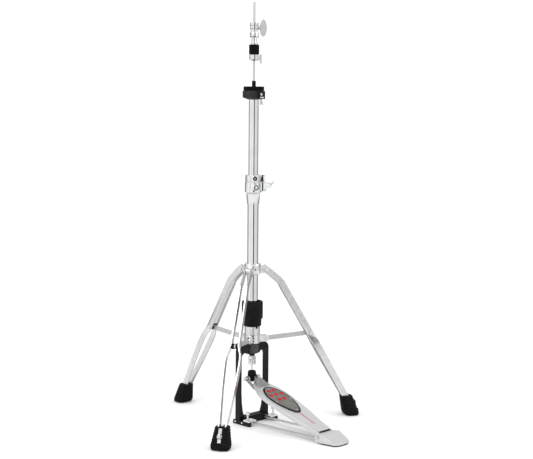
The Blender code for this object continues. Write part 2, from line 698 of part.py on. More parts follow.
def seat(chrome, black, felt):
    """The cup that tilts on the upper tube, its felt, its screw, and the sleeve that guides the rod."""
    low, high = SEAT_CUP_Z
    tilt_axis = SIDE * -13 + UP * low
    profile = [(8, low), (15, low), (20, low + 2), (SEAT_CUP_R, low + 5), (SEAT_CUP_R, high), (8, high)]
    cup = turned(profile, 32)
    screw_hole = moved(rod((TILT_SCREW_R, 0, low - 5), (TILT_SCREW_R, 0, low + 9), 2.4 + GAP), to_side())
    node("seat_cup", cut(cup, screw_hole), black, tilt_axis)
    node("seat_felt", tube(SEAT_FELT_R, 8, *SEAT_FELT_Z, 32), felt, tilt_axis)
    screw = joined(wing(5.8, 5, 3.0, 3.4, 4.0, 12.0), rod((0, 0, -6), (0, 0, 5), 2.4))
    head_down = Matrix.Rotation(math.pi, 4, "X")
    place = SIDE * TILT_SCREW_R + UP * low
    node("tilt_screw", moved(screw, to_side(TILT_SCREW_R, low) @ head_down), chrome, place)
    inside = UPPER_TUBE_R - TUBE_WALL - GAP
    sleeve = [(3.6, 812), (inside, 812), (inside, low - 0.8), (5, low - 0.3)]
    sleeve += [(5, SEAT_SLEEVE_TOP), (3.6, SEAT_SLEEVE_TOP)]
    return node("seat_sleeve", turned(sleeve, 20), black)


def clutch(chrome, felt):
    """From the top: the body with its wing screw, the jam nut, two felts, the nut and its lever."""
    bore = UPPER_ROD_R + GAP
    low, high = CLUTCH_BODY_Z
    waist = [(CLUTCH_R, low + 13), (8.5, low + 15), (8.5, low + 17), (CLUTCH_R, low + 19)]
    hole = moved(rod((5, 0, CLUTCH_SCREW_Z), (25, 0, CLUTCH_SCREW_Z), 2.5 + GAP), to_side())
    body = turned([(bore, low), (CLUTCH_R, low), *waist, (CLUTCH_R, high), (bore, high)])
    node("clutch_body", cut(body, hole), chrome)
    low, high = JAM_NUT_Z
    jam_nut = [(bore, low), (9.5, low), (9.5, low + 4), (6.8, low + 5), (6.8, high), (bore, high)]
    node("clutch_jam_nut", turned(jam_nut), chrome)
    low, high = CLUTCH_FELTS_Z
    middle = (low + high) / 2
    node("clutch_felt_upper", tube(CLUTCH_FELT_R, 4.5, middle + GAP / 2, high), felt)
    node("clutch_felt_lower", tube(CLUTCH_FELT_R, 4.5, low, middle - GAP / 2), felt)
    oval = [(21.5 * math.cos(a), 13.7 + 9.2 * math.sin(a)) for a in full_turn(24)]
    screw = joined(rod((0, 0, 3), (0, 0, 9), 4.6), front_view(oval, -1.8, 1.8))
    screw = joined(screw, rod((0, 0, -3), (0, 0, 5), 2.5))
    sideways = Matrix.Rotation(math.radians(90), 4, "Y")
    place = SIDE * 9 + UP * CLUTCH_SCREW_Z
    node("clutch_wing", moved(screw, to_side(9, CLUTCH_SCREW_Z) @ sideways), chrome, place)
    low, high = CLUTCH_NUT_Z
    nut = turned([(bore, low), (9.5, low), (12.3, low + 3), (12.3, high - 2), (11, high), (bore, high)])
    lug = moved(block((8, -4, low + 1), (14.2, 4, high - 2)), to_side())
    node("clutch_nut", joined(nut, lug), chrome)
    lever = moved(block((14.5, -4.5, low - 7), (19.5, 4.5, high - 0.3)), to_side())
    return node("clutch_lever", lever, chrome, SIDE * 17 + UP * (low - 1))


def build():
    for old in list(bpy.data.objects):
        bpy.data.objects.remove(old)
    chrome = material("chrome", (0.86, 0.87, 0.88), 0.12, 1.0)
    silver = material("satin_silver", (0.72, 0.72, 0.73), 0.35, 0.9)
    black = material("black_plastic", (0.02, 0.02, 0.022), 0.45, 0.0)
    cast = material("dark_casting", (0.06, 0.062, 0.065), 0.5, 0.3)
    rubber = material("black_rubber", (0.02, 0.02, 0.02), 0.8, 0.0)
    felt = material("black_felt", (0.02, 0.02, 0.02), 1.0, 0.0)
    grip = material("olive_grip", (0.14, 0.15, 0.12), 0.7, 0.0)
    base(cast, chrome, silver, black, rubber)
    footboard(silver)
    traction_plate(grip)
    toe_bracket(silver)
    toe_axle(chrome)
    rod_connector(chrome)
    swivel(chrome, black)
    pull_rod(chrome)
    return_spring(chrome)
    column(chrome, black)
    tripod(chrome, rubber)
    seat(chrome, black, felt)
    clutch(chrome, felt)


build()
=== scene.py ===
"""Looks of a hi-hat stand with its pedal and clutch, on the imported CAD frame.

Shapes are drawn in millimetres, in the frame's own place, and stored in metres. Each visible piece is one
mesh that rides on a CAD body. A piece either refines its CAD node's mesh or is drawn anew.
"""

import json
import math

import bmesh
import bpy
from mathutils import Matrix, Vector

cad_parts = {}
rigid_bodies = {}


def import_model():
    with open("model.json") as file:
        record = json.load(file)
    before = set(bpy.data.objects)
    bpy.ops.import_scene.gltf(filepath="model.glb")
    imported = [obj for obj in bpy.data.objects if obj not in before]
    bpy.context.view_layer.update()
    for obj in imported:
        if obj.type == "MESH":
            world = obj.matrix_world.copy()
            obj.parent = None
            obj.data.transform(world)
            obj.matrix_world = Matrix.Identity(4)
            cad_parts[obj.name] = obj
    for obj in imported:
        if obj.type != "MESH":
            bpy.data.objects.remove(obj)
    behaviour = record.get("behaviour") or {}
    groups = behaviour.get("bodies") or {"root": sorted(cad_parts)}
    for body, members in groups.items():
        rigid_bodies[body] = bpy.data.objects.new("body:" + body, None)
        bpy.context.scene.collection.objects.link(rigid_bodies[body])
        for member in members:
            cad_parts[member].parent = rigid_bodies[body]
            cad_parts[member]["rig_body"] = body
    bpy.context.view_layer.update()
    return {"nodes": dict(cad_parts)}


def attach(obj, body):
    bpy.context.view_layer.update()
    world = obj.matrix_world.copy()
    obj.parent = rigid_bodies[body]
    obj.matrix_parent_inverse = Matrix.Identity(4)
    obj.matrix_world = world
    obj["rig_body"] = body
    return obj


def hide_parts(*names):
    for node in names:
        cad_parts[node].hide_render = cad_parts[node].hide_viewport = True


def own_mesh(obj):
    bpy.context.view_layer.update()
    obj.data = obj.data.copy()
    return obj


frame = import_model()

MM = 0.001
UP = Vector((0, 0, 1))
SIDE = Vector((math.sqrt(0.5), -math.sqrt(0.5), 0))  # towards the wing screws
BACK = Vector((math.sqrt(0.5), math.sqrt(0.5), 0))
FRONT = -BACK

# The camera: where it stands round the object, in degrees, and what it looks at
CAMERA_AZIMUTH = -44.391
CAMERA_DISTANCE = 3.0
CAMERA_HEIGHT = 0.821
CAMERA_YAW = -0.664
CAMERA_PITCH = -6.136
CAMERA_ROLL = 0.463
CAMERA_LENS = 79.75

# Sizes that the looks share with the CAD, in millimetres
HINGE = Vector((0, -262, 15))
BOARD_SLOPE = math.radians(19.3)
BOARD_RISE = 6.0
BOARD_THICK = 3.5
# (distance up the board from the hinge, half its width, depth of its skirt)
BOARD_SHAPE = (
    (4, 27, 7), (25, 27.5, 10), (53, 30, 10), (75, 33, 10), (94, 36, 10), (112, 38.6, 10), (131, 40, 10),
    (165, 41.4, 10), (195, 41, 10), (212, 37.5, 9), (227, 33, 7), (240, 28, 5), (250, 22, 4.5), (259, 13, 4.5),
)  # fmt: skip
BOARD_NORMAL = Vector((0, -math.sin(BOARD_SLOPE), math.cos(BOARD_SLOPE)))
GRIP_SPAN = (101.0, 224.0)
GRIP_HALF_WIDTH = 31.0
# (across, distance up the board) of the traction plate's red dots and of its screws
DOTS = ((-9, 206), (9, 206), (-18, 186.5), (0, 186.5), (18, 186.5), (-9, 165), (9, 165))
BOARD_SCREWS = ((0, 216), (-25, 158), (25, 158), (0, 110))
LEG_ANGLES = {"front_left": 210.0, "front_right": 330.0, "rear": 90.0}
# (height, inner reach, outer reach, half width) of a foot
FOOT_SHAPE = (
    (0, 255, 288, 21), (3, 251, 292, 24), (10, 247.5, 290.5, 24.5), (34, 243.5, 281, 20.5), (52, 240.5, 273, 17.5),
)  # fmt: skip
LEG_BEND = (76.0, 360.0)
FOOT_TOP = (254.5, 49.0)
BRACE_LEG_Z = 225.0
RIB_DEPTH = 1.7  # of the grooves round the rubber feet


# ---------------------------------------------------------------- materials


class Surface:
    """A material being made: its node tree, and the shader that it ends in."""

    def __init__(self, name, metallic=0.0, roughness=0.5):
        self.material = bpy.data.materials.new(name)
        self.material.use_nodes = True
        self.tree = self.material.node_tree
        self.shader = self.tree.nodes["Principled BSDF"]
        self.place = self.tree.nodes.new("ShaderNodeTexCoord").outputs["Object"]
        self.set("Metallic", metallic)
        self.set("Roughness", roughness)

    def add(self, kind, **settings):
        node = self.tree.nodes.new("ShaderNode" + kind)
        for key, value in settings.items():
            setattr(node, key, value)
        return node

    def set(self, socket, value):
        if isinstance(value, bpy.types.NodeSocket):
            self.tree.links.new(value, self.shader.inputs[socket])
        else:
            self.shader.inputs[socket].default_value = value

    def link(self, start, end):
        self.tree.links.new(start, end)

    def noise(self, size, detail=3.0, stretch=(1, 1, 1)):
        """Noise with features of about that many millimetres, longer where stretch is above 1."""
        mapping = self.add("Mapping")
        mapping.inputs["Scale"].default_value = [1 / s for s in stretch]
        texture = self.add("TexNoise")
        texture.inputs["Scale"].default_value = 1 / (size * MM)
        texture.inputs["Detail"].default_value = detail
        self.link(self.place, mapping.inputs["Vector"])
        self.link(mapping.outputs["Vector"], texture.inputs["Vector"])
        return texture.outputs["Fac"]

    def spread(self, value, low, high, start=0.3, end=0.7):
        """Maps the value between start and end to the range from low to high."""
        node = self.add("MapRange")
        self.link(value, node.inputs["Value"])
        for name, number in (("From Min", start), ("From Max", end), ("To Min", low), ("To Max", high)):
            node.inputs[name].default_value = number
        return node.outputs["Result"]

    def combine(self, first, second, operation="MULTIPLY"):
        node = self.add("Math", operation=operation)
        self.link(first, node.inputs[0])
        self.link(second, node.inputs[1])
        return node.outputs["Value"]

    def blend(self, share, first, second):
        """The first colour where share is 0 and the second where it is 1."""
        node = self.add("Mix", data_type="RGBA")
        self.link(share, node.inputs["Factor"])
        for name, colour in ((6, first), (7, second)):
            if isinstance(colour, bpy.types.NodeSocket):
                self.link(colour, node.inputs[name])
            else:
                node.inputs[name].default_value = (*colour, 1)
        return node.outputs[2]

    def edges(self, width):
        """1 on edges and 0 on open surfaces, from how far the normal turns within that many millimetres."""
        rounded = self.add("Bevel", samples=4)
        rounded.inputs["Radius"].default_value = width * MM
        dot = self.add("VectorMath", operation="DOT_PRODUCT")
        self.link(rounded.outputs["Normal"], dot.inputs[0])
        self.link(self.add("NewGeometry").outputs["Normal"], dot.inputs[1])
        return self.spread(dot.outputs["Value"], 1, 0, 0.86, 0.98)

    def bump(self, height, strength, depth):
        node = self.add("Bump")
        node.inputs["Strength"].default_value = strength
        node.inputs["Distance"].default_value = depth * MM
        self.link(height, node.inputs["Height"])
        self.set("Normal", node.outputs["Normal"])


def chrome():
    """Bright plating: nearly a mirror, with handling smudges and hair-fine polishing marks."""
    made = Surface("look_chrome", metallic=1)
    smudge = made.noise(22)
    made.set("Base Color", made.blend(made.spread(smudge, 0, 1), (0.90, 0.905, 0.915), (0.82, 0.83, 0.84)))
    marks = made.noise(0.8, 2, (1, 1, 14))
    made.set("Roughness", made.combine(made.spread(smudge, 0.05, 0.13), made.spread(marks, 0.8, 1.2)))
    made.bump(marks, 0.015, 0.03)
    return made.material


def satin_metal(name, pale, shaded, roughness):
    """Matt plating or bead-blasted zinc: fine pits, soft mottling, and edges rubbed bright."""
    made = Surface(name, metallic=1)
    mottle = made.noise(9)
    pits = made.noise(0.5, 4)
    tone = made.blend(made.spread(mottle, 0, 1), pale, shaded)
    made.set("Base Color", made.blend(made.edges(1.0), tone, [min(1, c * 1.2) for c in pale]))
    made.set("Roughness", made.combine(made.spread(mottle, roughness, roughness + 0.1), made.spread(pits, 0.9, 1.1)))
    made.bump(pits, 0.12, 0.06)
    return made.material


def board_silver():
    """The board's silver finish: sprayed metallic paint with a fine sparkle, over a slightly wavy casting, its edges
    painted near white as a painted highlight.
    """
    made = Surface("look_board_silver", metallic=0.55)
    waves = made.noise(30, 2, (1, 3, 1))
    sparkle = made.noise(0.35, 2)
    tone = made.blend(made.spread(sparkle, 0, 1), (0.6, 0.6, 0.61), (0.74, 0.74, 0.75))
    # Edges painted near white: a painted highlight along the board's rounded edges.
    made.set("Base Color", made.blend(made.edges(1.2), tone, (0.93, 0.93, 0.93)))
    made.set("Roughness", made.spread(waves, 0.30, 0.42))
    made.set("Coat Weight", 0.15)
    made.set("Coat Roughness", 0.15)
    made.bump(made.combine(waves, sparkle, "ADD"), 0.08, 0.08)
    return made.material


def casting(name, dark, light, roughness):
    """A painted casting: orange-peel skin, uneven gloss, and edges worn lighter."""
    made = Surface(name)
    skin = made.noise(1.1, 2)
    cloud = made.noise(26)
    tone = made.blend(made.spread(cloud, 0, 1), dark, light)
    made.set("Base Color", made.blend(made.edges(0.9), tone, [c * 2.4 + 0.02 for c in light]))
    made.set("Roughness", made.spread(cloud, roughness, roughness + 0.12))
    made.set("Specular IOR Level", 0.14)
    made.bump(skin, 0.16, 0.12)
    return made.material


def moulded(name, dark, light, roughness):
    """Spark-textured moulded plastic, a little greyer on its edges."""
    made = Surface(name)
    grain = made.noise(0.45, 3)
    cloud = made.noise(14)
    tone = made.blend(made.spread(cloud, 0, 1), dark, light)
    made.set("Base Color", made.blend(made.edges(0.7), tone, [c * 2.2 + 0.01 for c in light]))
    made.set("Roughness", made.combine(made.spread(cloud, roughness, roughness + 0.12), made.spread(grain, 0.9, 1.1)))
    made.set("Specular IOR Level", 0.13)
    made.bump(grain, 0.25, 0.08)
    return made.material


def rubber():
    """Soft black rubber with a dry bloom and scuffs."""
    made = Surface("look_rubber")
    bloom = made.noise(11, 4)
    grain = made.noise(0.9, 4)
    made.set("Base Color", made.blend(made.spread(bloom, 0, 1), (0.004, 0.004, 0.004), (0.011, 0.011, 0.0105)))
    made.set("Roughness", made.spread(bloom, 0.6, 0.82))
    made.set("Specular IOR Level", 0.12)
    made.bump(grain, 0.3, 0.2)
    return made.material


def felt():
    """Pressed wool felt: crossing fibres, flecks and a soft sheen."""
    made = Surface("look_felt", roughness=0.97)
    fibres = made.combine(made.noise(0.5, 4, (5, 1, 1)), made.noise(0.5, 4, (1, 5, 2)), "ADD")
    flecks = made.noise(1.6, 5)
    made.set("Base Color", made.blend(made.spread(flecks, 0, 1), (0.002, 0.002, 0.002), (0.009, 0.009, 0.01)))
    made.set("Sheen Weight", 0.03)
    made.set("Sheen Roughness", 0.5)
    made.set("Specular IOR Level", 0.05)
    made.bump(fibres, 0.7, 0.35)
    return made.material


def grip_sheet():
    """The traction plate's olive grit: fine sharp grains with pale flecks."""
    made = Surface("look_grip", roughness=0.75)
    grit = made.noise(0.7, 5)
    dust = made.noise(24)
    tone = made.blend(made.spread(dust, 0, 1), (0.115, 0.112, 0.098), (0.185, 0.18, 0.16))
    made.set("Base Color", made.blend(made.spread(grit, 0, 0.5, 0.52, 0.7), tone, (0.42, 0.41, 0.37)))
    made.set("Specular IOR Level", 0.3)
    made.bump(grit, 0.5, 0.25)
    return made.material


def enamel(name, dark, light, roughness):
    """Glossy pad print or enamel with a slightly uneven film; in black, the same finish is the painted shade of
    slots, grooves and sockets.
    """
    made = Surface(name, roughness=roughness)
    film = made.noise(3, 4)
    made.set("Base Color", made.blend(made.spread(film, 0, 1), dark, light))
    made.set("Roughness", made.spread(film, roughness, roughness + 0.15))
    made.set("Specular IOR Level", 0.1)
    made.bump(film, 0.1, 0.05)
    return made.material


CHROME = chrome()
SATIN = satin_metal("look_satin", (0.86, 0.86, 0.87), (0.76, 0.76, 0.77), 0.2)
STEEL = satin_metal("look_rod_steel", (0.74, 0.74, 0.75), (0.66, 0.66, 0.67), 0.42)
ZINC = satin_metal("look_zinc", (0.5, 0.5, 0.505), (0.36, 0.36, 0.365), 0.32)
SILVER = board_silver()
IRON = casting("look_frame", (0.008, 0.008, 0.009), (0.016, 0.016, 0.017), 0.3)
# The hub's paler grey is a painted highlight: the same casting, shown lighter where light falls on it from above.
HUB_PAINTED_HIGHLIGHT = casting("look_frame_hub_painted_highlight", (0.045, 0.045, 0.047), (0.075, 0.075, 0.078), 0.34)
BLACK = moulded("look_black_plastic", (0.003, 0.003, 0.003), (0.008, 0.008, 0.008), 0.42)
CHARCOAL = moulded("look_seat_plastic", (0.016, 0.016, 0.017), (0.03, 0.03, 0.031), 0.4)
RUBBER = rubber()
FELT = felt()
GRIP = grip_sheet()
RED = enamel("look_red", (0.47, 0.006, 0.014), (0.60, 0.012, 0.025), 0.45)
# Black painted shade: thin sheets and rings of it stand for the shade inside slots, slits, grooves, holes and screw
# sockets, which are not cut.
SHADE_BLACK = enamel("look_gap_painted_shade", (0.004, 0.004, 0.004), (0.011, 0.011, 0.011), 0.5)


# ---------------------------------------------------------------- shapes, in millimetres


def loft(rings, closed=False):
    """Joins rings of equally many points. Its ends are capped unless it closes on itself."""
    bm = bmesh.new()
    made = [[bm.verts.new(point) for point in ring] for ring in rings]
    count = len(made[0])
    pairs = list(zip(made, made[1:]))
    if closed:
        pairs.append((made[-1], made[0]))
    for low, high in pairs:
        for i in range(count):
            j = (i + 1) % count
            bm.faces.new((low[i], low[j], high[j], high[i]))
    if not closed:
        bm.faces.new(list(reversed(made[0])))
        bm.faces.new(made[-1])
    return bm


def circle(radius, sides, height=0.0, phase=0.0):
    found = []
    for i in range(sides):
        a = 2 * math.pi * (i + phase) / sides
        found.append(Vector((radius * math.cos(a), radius * math.sin(a), height)))
    return found


def turned(profile, sides=64, bored=True, flutes=0, depth=0.0):
    """Turns (radius, height) points about Z. Flutes dent every point that is marked with a third value, 1."""
    rings = []
    for point in profile:
        radius, height = point[:2]
        ring = circle(radius, sides, height)
        if flutes and len(point) > 2:
            for i, spot in enumerate(ring):
                wave = 0.5 - 0.5 * math.cos(2 * math.pi * i * flutes / sides)
                spot.xy *= 1 - depth * wave**2 / radius
        rings.append(ring)
    return loft(rings, closed=bored)


def placed(shape, start=(0, 0, 0), axis=UP, roll=0.0):
    """Moves a shape drawn along Z to that start and axis."""
    turn = Vector(axis).to_track_quat("Z", "Y").to_matrix().to_4x4()
    shape.transform(Matrix.Translation(Vector(start)) @ turn @ Matrix.Rotation(math.radians(roll), 4, "Z"))
    return shape


def rod(start, end, radius, sides=32):
    start, end = Vector(start), Vector(end)
    length = (end - start).length
    return placed(turned([(radius, 0), (radius, length)], sides, bored=False), start, end - start)


def slab(outline, low, high, across=(1, 0, 0), along=(0, 1, 0), origin=(0, 0, 0)):
    """Extrudes an outline drawn in two directions, from low to high in the third."""
    across, along, origin = Vector(across), Vector(along), Vector(origin)
    third = across.cross(along)
    return loft([[origin + across * a + along * b + third * h for a, b in outline] for h in (low, high)])


def block(centre, size, across=(1, 0, 0), along=(0, 1, 0)):
    """A box of size (across, along, third) about its centre."""
    a, b, c = (length / 2 for length in size)
    return slab([(-a, -b), (a, -b), (a, b), (-a, b)], -c, c, across, along, centre)


def bolt_head(start, axis, radius, height, sides=24, domed=0.35):
    """A button head: straight sides and a domed top, with the axis pointing out of it."""
    profile = [(radius, 0), (radius, height * (1 - domed))]
    for step in range(1, 5):
        a = step * math.pi / 8
        profile.append((radius * (1 - 0.45 * (1 - math.cos(a))), height * (1 - domed + domed * math.sin(a))))
    return placed(turned(profile, sides, bored=False), start, axis)


def hex_head(start, axis, radius, height):
    profile = [(radius, 0), (radius, height * 0.8), (radius * 0.86, height)]
    return placed(turned(profile, 6, bored=False), start, axis)


def refined(node):
    """A copy of the node's shape with its flat faces whole again, ready for rounded edges."""
    bm = bmesh.new()
    bm.from_mesh(frame["nodes"][node].data)
    bm.transform(Matrix.Scale(1 / MM, 4))
    bmesh.ops.remove_doubles(bm, verts=bm.verts, dist=0.005)
    bmesh.ops.dissolve_limit(bm, angle_limit=math.radians(1.0), verts=bm.verts, edges=bm.edges)
    return bm


def piece(name, body, shapes, stands_for=(), rounding=0.4, divisions=2, sharp=38.0):
    """Makes one visible piece from (shape, material) pairs, with its edges rounded by that radius."""
    mesh = bpy.data.meshes.new(name)
    whole = bmesh.new()
    for index, (shape, look) in enumerate(shapes):
        bmesh.ops.recalc_face_normals(shape, faces=shape.faces)
        for face in shape.faces:
            face.material_index = index
            face.smooth = True
        part = bpy.data.meshes.new("part")
        shape.to_mesh(part)
        whole.from_mesh(part)
        bpy.data.meshes.remove(part)
        shape.free()
        mesh.materials.append(look)
    whole.transform(Matrix.Scale(MM, 4))
    whole.to_mesh(mesh)
    whole.free()
    mesh.set_sharp_from_angle(angle=math.radians(sharp))
    made = bpy.data.objects.new(name, mesh)
    bpy.context.scene.collection.objects.link(made)
    if rounding:
        bevel = made.modifiers.new("rounded edges", "BEVEL")
        bevel.width = rounding * MM
        bevel.segments = divisions
        bevel.limit_method = "ANGLE"
        bevel.angle_limit = math.radians(sharp)
        bevel.use_clamp_overlap = False
        bevel.harden_normals = True
    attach(made, body)
    if stands_for:
        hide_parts(*([stands_for] if isinstance(stands_for, str) else stands_for))
    return made


def body_of(node):
    return frame["nodes"][node]["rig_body"]


def refine(node, look, rounding=0.4, extras=(), sharp=38.0):
    """Shows a node with rounded edges and a real finish, and any small pieces fixed to it."""
    shapes = [(refined(node), look), *extras]
    return piece(node + "_look", body_of(node), shapes, node, rounding, 2, sharp)


# ---------------------------------------------------------------- studio


def camera():
    azimuth, turn = math.radians(CAMERA_AZIMUTH), math.radians(CAMERA_AZIMUTH + CAMERA_YAW)
    pitch, roll = math.radians(CAMERA_PITCH), math.radians(CAMERA_ROLL)
    forward = Vector((-math.sin(turn) * math.cos(pitch), math.cos(turn) * math.cos(pitch), math.sin(pitch)))
    right = Vector((math.cos(turn), math.sin(turn), 0))
    up = right.cross(forward)
    right, up = right * math.cos(roll) + up * math.sin(roll), up * math.cos(roll) - right * math.sin(roll)
    data = bpy.data.cameras.new("camera")
    data.lens = CAMERA_LENS
    data.sensor_width = 36
    data.clip_start = 0.01
    made = bpy.data.objects.new("camera", data)
    made.matrix_world = Matrix((right, up, -forward)).transposed().to_4x4()
    made.location = (
        math.sin(azimuth) * CAMERA_DISTANCE,
        -math.cos(azimuth) * CAMERA_DISTANCE,
        CAMERA_HEIGHT,
    )
    bpy.context.scene.collection.objects.link(made)
    bpy.context.scene.camera = made


def heading(degrees):
    """The level direction at that angle from the camera's side of the stand, growing towards the camera's right."""
    azimuth = math.radians(CAMERA_AZIMUTH + degrees)
    return Vector((math.sin(azimuth), -math.cos(azimuth), 0))


# The studio's cards, seen only in reflections: (heading, half width, softness, light left in them), in degrees
CARDS = (
    (13.5, 9, 2.5, 0.02), (46, 20, 6, 0.78), (-38, 5, 6, 0.72), (-91, 10, 8, 0.85), (84, 4, 5, 0.5),
    (138, 32, 10, 0.3), (180, 14, 10, 0.5), (-138, 28, 10, 0.34),
)  # fmt: skip
HIGH_LIGHT = 0.6  # light left in reflections from straight above and below
ROOM_LIGHT = 1.12


def studio_light():
    """A white surround whose reflections have dark cards, which give the plating its lines."""
    world = bpy.data.worlds.new("studio")
    bpy.context.scene.world = world
    world.use_nodes = True
    tree = world.node_tree
    background = tree.nodes["Background"]
    flat = tree.nodes.new("ShaderNodeVectorMath")
    flat.operation = "MULTIPLY"
    flat.inputs[1].default_value = (1, 1, 0)
    tree.links.new(tree.nodes.new("ShaderNodeTexCoord").outputs["Generated"], flat.inputs[0])
    level = tree.nodes.new("ShaderNodeVectorMath")
    level.operation = "NORMALIZE"
    tree.links.new(flat.outputs["Vector"], level.inputs[0])
    tall = tree.nodes.new("ShaderNodeSeparateXYZ")
    tree.links.new(flat.inputs[0].links[0].from_socket, tall.inputs[0])
    steep = tree.nodes.new("ShaderNodeMath")
    steep.operation = "ABSOLUTE"
    tree.links.new(tall.outputs["Z"], steep.inputs[0])
    above = tree.nodes.new("ShaderNodeMapRange")
    above.interpolation_type = "SMOOTHSTEP"
    for name, value in (("From Min", 0.25), ("From Max", 0.8), ("To Min", 1.0), ("To Max", HIGH_LIGHT)):
        above.inputs[name].default_value = value
    tree.links.new(steep.outputs["Value"], above.inputs["Value"])
    light = above.outputs["Result"]
    for degrees, half_width, softness, left in CARDS:
        dot = tree.nodes.new("ShaderNodeVectorMath")
        dot.operation = "DOT_PRODUCT"
        dot.inputs[1].default_value = heading(degrees)
        tree.links.new(level.outputs["Vector"], dot.inputs[0])
        card = tree.nodes.new("ShaderNodeMapRange")
        card.interpolation_type = "SMOOTHSTEP"
        card.inputs["From Min"].default_value = math.cos(math.radians(half_width + softness))
        card.inputs["From Max"].default_value = math.cos(math.radians(half_width))
        card.inputs["To Min"].default_value = 1.0
        card.inputs["To Max"].default_value = left
        tree.links.new(dot.outputs["Value"], card.inputs["Value"])
        both = tree.nodes.new("ShaderNodeMath")
        both.operation = "MULTIPLY"
        tree.links.new(light, both.inputs[0])
        tree.links.new(card.outputs["Result"], both.inputs[1])
        light = both.outputs["Value"]
    over = tree.nodes.new("ShaderNodeMapRange")  # the cards are low: 0 beside them and 1 above them
    over.inputs["From Min"].default_value = 0.22
    over.inputs["From Max"].default_value = 0.31
    tree.links.new(steep.outputs["Value"], over.inputs["Value"])
    whole = tree.nodes.new("ShaderNodeMix")
    tree.links.new(over.outputs["Result"], whole.inputs["Factor"])
    tree.links.new(light, whole.inputs["A"])
    tree.links.new(above.outputs["Result"], whole.inputs["B"])
    light = whole.outputs["Result"]
    rays = tree.nodes.new("ShaderNodeLightPath")
    seen = tree.nodes.new("ShaderNodeMix")
    tree.links.new(rays.outputs["Is Glossy Ray"], seen.inputs["Factor"])
    seen.inputs["A"].default_value = ROOM_LIGHT
    tree.links.new(light, seen.inputs["B"])
    tree.links.new(seen.outputs["Result"], background.inputs["Color"])
    for name, degrees, height, size, power in (("key", -50, 2.2, 1.4, 15), ("fill", 70, 1.7, 1.4, 8)):
        lamp = bpy.data.lights.new(name, "AREA")
        lamp.shape = "DISK"
        lamp.size = size
        lamp.energy = power
        made = bpy.data.objects.new(name, lamp)
        made.location = heading(degrees) * 2.2 + UP * height
        aim = Vector((0, 0, 0.45)) - made.location
        made.rotation_euler = aim.to_track_quat("-Z", "Y").to_euler()
        bpy.context.scene.collection.objects.link(made)
    bpy.context.scene.view_settings.view_transform = "Standard"


def floor():
    made = Surface("look_floor", roughness=0.8)
    cloud = made.noise(400, 2)
    made.set("Base Color", made.blend(made.spread(cloud, 0, 1), (0.95, 0.95, 0.95), (0.97, 0.97, 0.97)))
    made.set("Specular IOR Level", 0.1)
    mesh = bpy.data.meshes.new("floor")
    reach, low = 6.0, -0.0006
    corners = [(-reach, -reach, low), (reach, -reach, low), (reach, reach, low), (-reach, reach, low)]
    mesh.from_pydata(corners, [], [(0, 1, 2, 3)])
    mesh.materials.append(made.material)
    plane = bpy.data.objects.new("floor", mesh)
    plane.visible_glossy = False
    bpy.context.scene.collection.objects.link(plane)


# ---------------------------------------------------------------- pieces


def about_column(degrees, reach, height):
    """A point that far from the column's axis, at that heading from the camera's side, and its outward way."""
    way = heading(degrees)
    return way * reach + UP * height, way


def in_leg(leg, distance, sideways, height):
    """A point in a leg's own (distance, sideways, height)."""
    return Matrix.Rotation(math.radians(LEG_ANGLES[leg]), 4, "Z") @ Vector((distance, sideways, height))


def on_leg(z):
    """Distance from the column's axis of a leg's straight part at a height."""
    share = (LEG_BEND[1] - z) / (LEG_BEND[1] - FOOT_TOP[1])
    return LEG_BEND[0] + (FOOT_TOP[0] - LEG_BEND[0]) * share


def on_board(distance, across, rise):
    """A point measured up the footboard from the hinge, across it, and above the line through the pin."""
    up_board = Vector((0, math.cos(BOARD_SLOPE), math.sin(BOARD_SLOPE)))
    return HINGE + up_board * distance + BOARD_NORMAL * rise + Vector((across, 0, 0))


def pedal_frame():
    """The casting, its hub round the column painted a paler grey as a painted highlight of the light from above, the
    hub's set screw and the runners' side screws.
    """
    hub = [(14.4, 178), (15.6, 180), (17.25, 189), (17.25, 193), (14.9, 203.6), (14.4, 203.6)]
    # The hub ring is painted paler than the rest of the casting: a painted highlight.
    shapes = [(refined("pedal_frame"), IRON), (turned(hub, 64), HUB_PAINTED_HIGHLIGHT)]
    point, way = about_column(26, 15.2, 190)
    shapes.append((bolt_head(point, way, 3.2, 1.6), CHROME))
    # A black stub in the set screw is painted shade for its socket.
    shapes.append((rod(point + way * 1.2, point + way * 1.9, 1.5, 6), SHADE_BLACK))
    for side in (-1, 1):
        for y in (-20, 4):
            shapes.append((bolt_head((side * 54.0, y, 6.5), (side, 0, 0), 2.6, 1.2), CHROME))
    piece("pedal_frame_look", "base", shapes, "pedal_frame", 1.2)


def smooth_board():
    """The board's sections, with rows between the given ones so that its sides curve."""
    rows = []
    last = len(BOARD_SHAPE) - 1
    for index in range(last):
        before, here, ahead, after = (BOARD_SHAPE[min(max(index + k, 0), last)] for k in (-1, 0, 1, 2))
        for t in (0, 0.25, 0.5, 0.75):
            row = []
            for a, b, c, d in zip(before, here, ahead, after):
                bend = (a - b - c + d) * t * (t - 1) / 4
                row.append(b + (c - b) * t + bend)
            row[0] = here[0] + (ahead[0] - here[0]) * t
            rows.append(row)
    return [*rows, BOARD_SHAPE[-1]]


